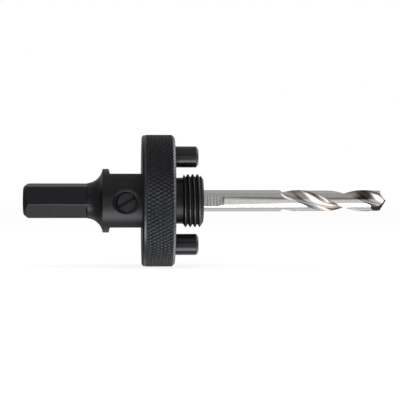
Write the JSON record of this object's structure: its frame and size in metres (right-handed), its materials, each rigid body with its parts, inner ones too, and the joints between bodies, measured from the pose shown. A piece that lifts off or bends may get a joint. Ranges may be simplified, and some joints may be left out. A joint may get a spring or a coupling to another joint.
{
  "type": "hole saw arbor",
  "caption": "Hexagon-shank arbor with a threaded nose, a knurled sliding drive collar with drive pins, a slotted set screw and a twist pilot drill.",
  "frame": {"origin": "on the arbor's axis, in the plane of the shoulder that a saw seats against", "axes": "+X along the axis towards the drill's tip, +Z towards the upper drive pin, the set screw's head on the -Y side"},
  "size_m": [0.1088, 0.0394, 0.0394],
  "materials": {
    "body_steel": "black oxide",
    "collar_steel": "black oxide, knurled",
    "pin_steel": "black oxide",
    "screw_steel": "black oxide",
    "spring_steel": "drawn wire",
    "drill_steel": "ground high-speed steel"
  },
  "bodies": {
    "arbor": {"arbor_body": "body_steel"},
    "collar": {"drive_collar": "collar_steel", "drive_pin_upper": "pin_steel", "drive_pin_lower": "pin_steel", "friction_ring": "spring_steel"},
    "pilot": {"pilot_drill": "drill_steel"},
    "screw": {"set_screw": "screw_steel"}
  },
  "joints": [
    {"name": "collar_slide", "type": "slide", "parent": "arbor", "child": "collar", "axis": [-1, 0, 0], "range_m": [0, 0.0094]},
    {"name": "pilot_slide", "type": "slide", "parent": "arbor", "child": "pilot", "axis": [1, 0, 0], "range_m": [0, 0.0275]},
    {"name": "set_screw_turn", "type": "hinge", "parent": "arbor", "child": "screw", "pos_m": [-0.01413, 0, 0], "axis": [0, -0.9984, -0.0558], "range_deg": [0, 720]}
  ]
}
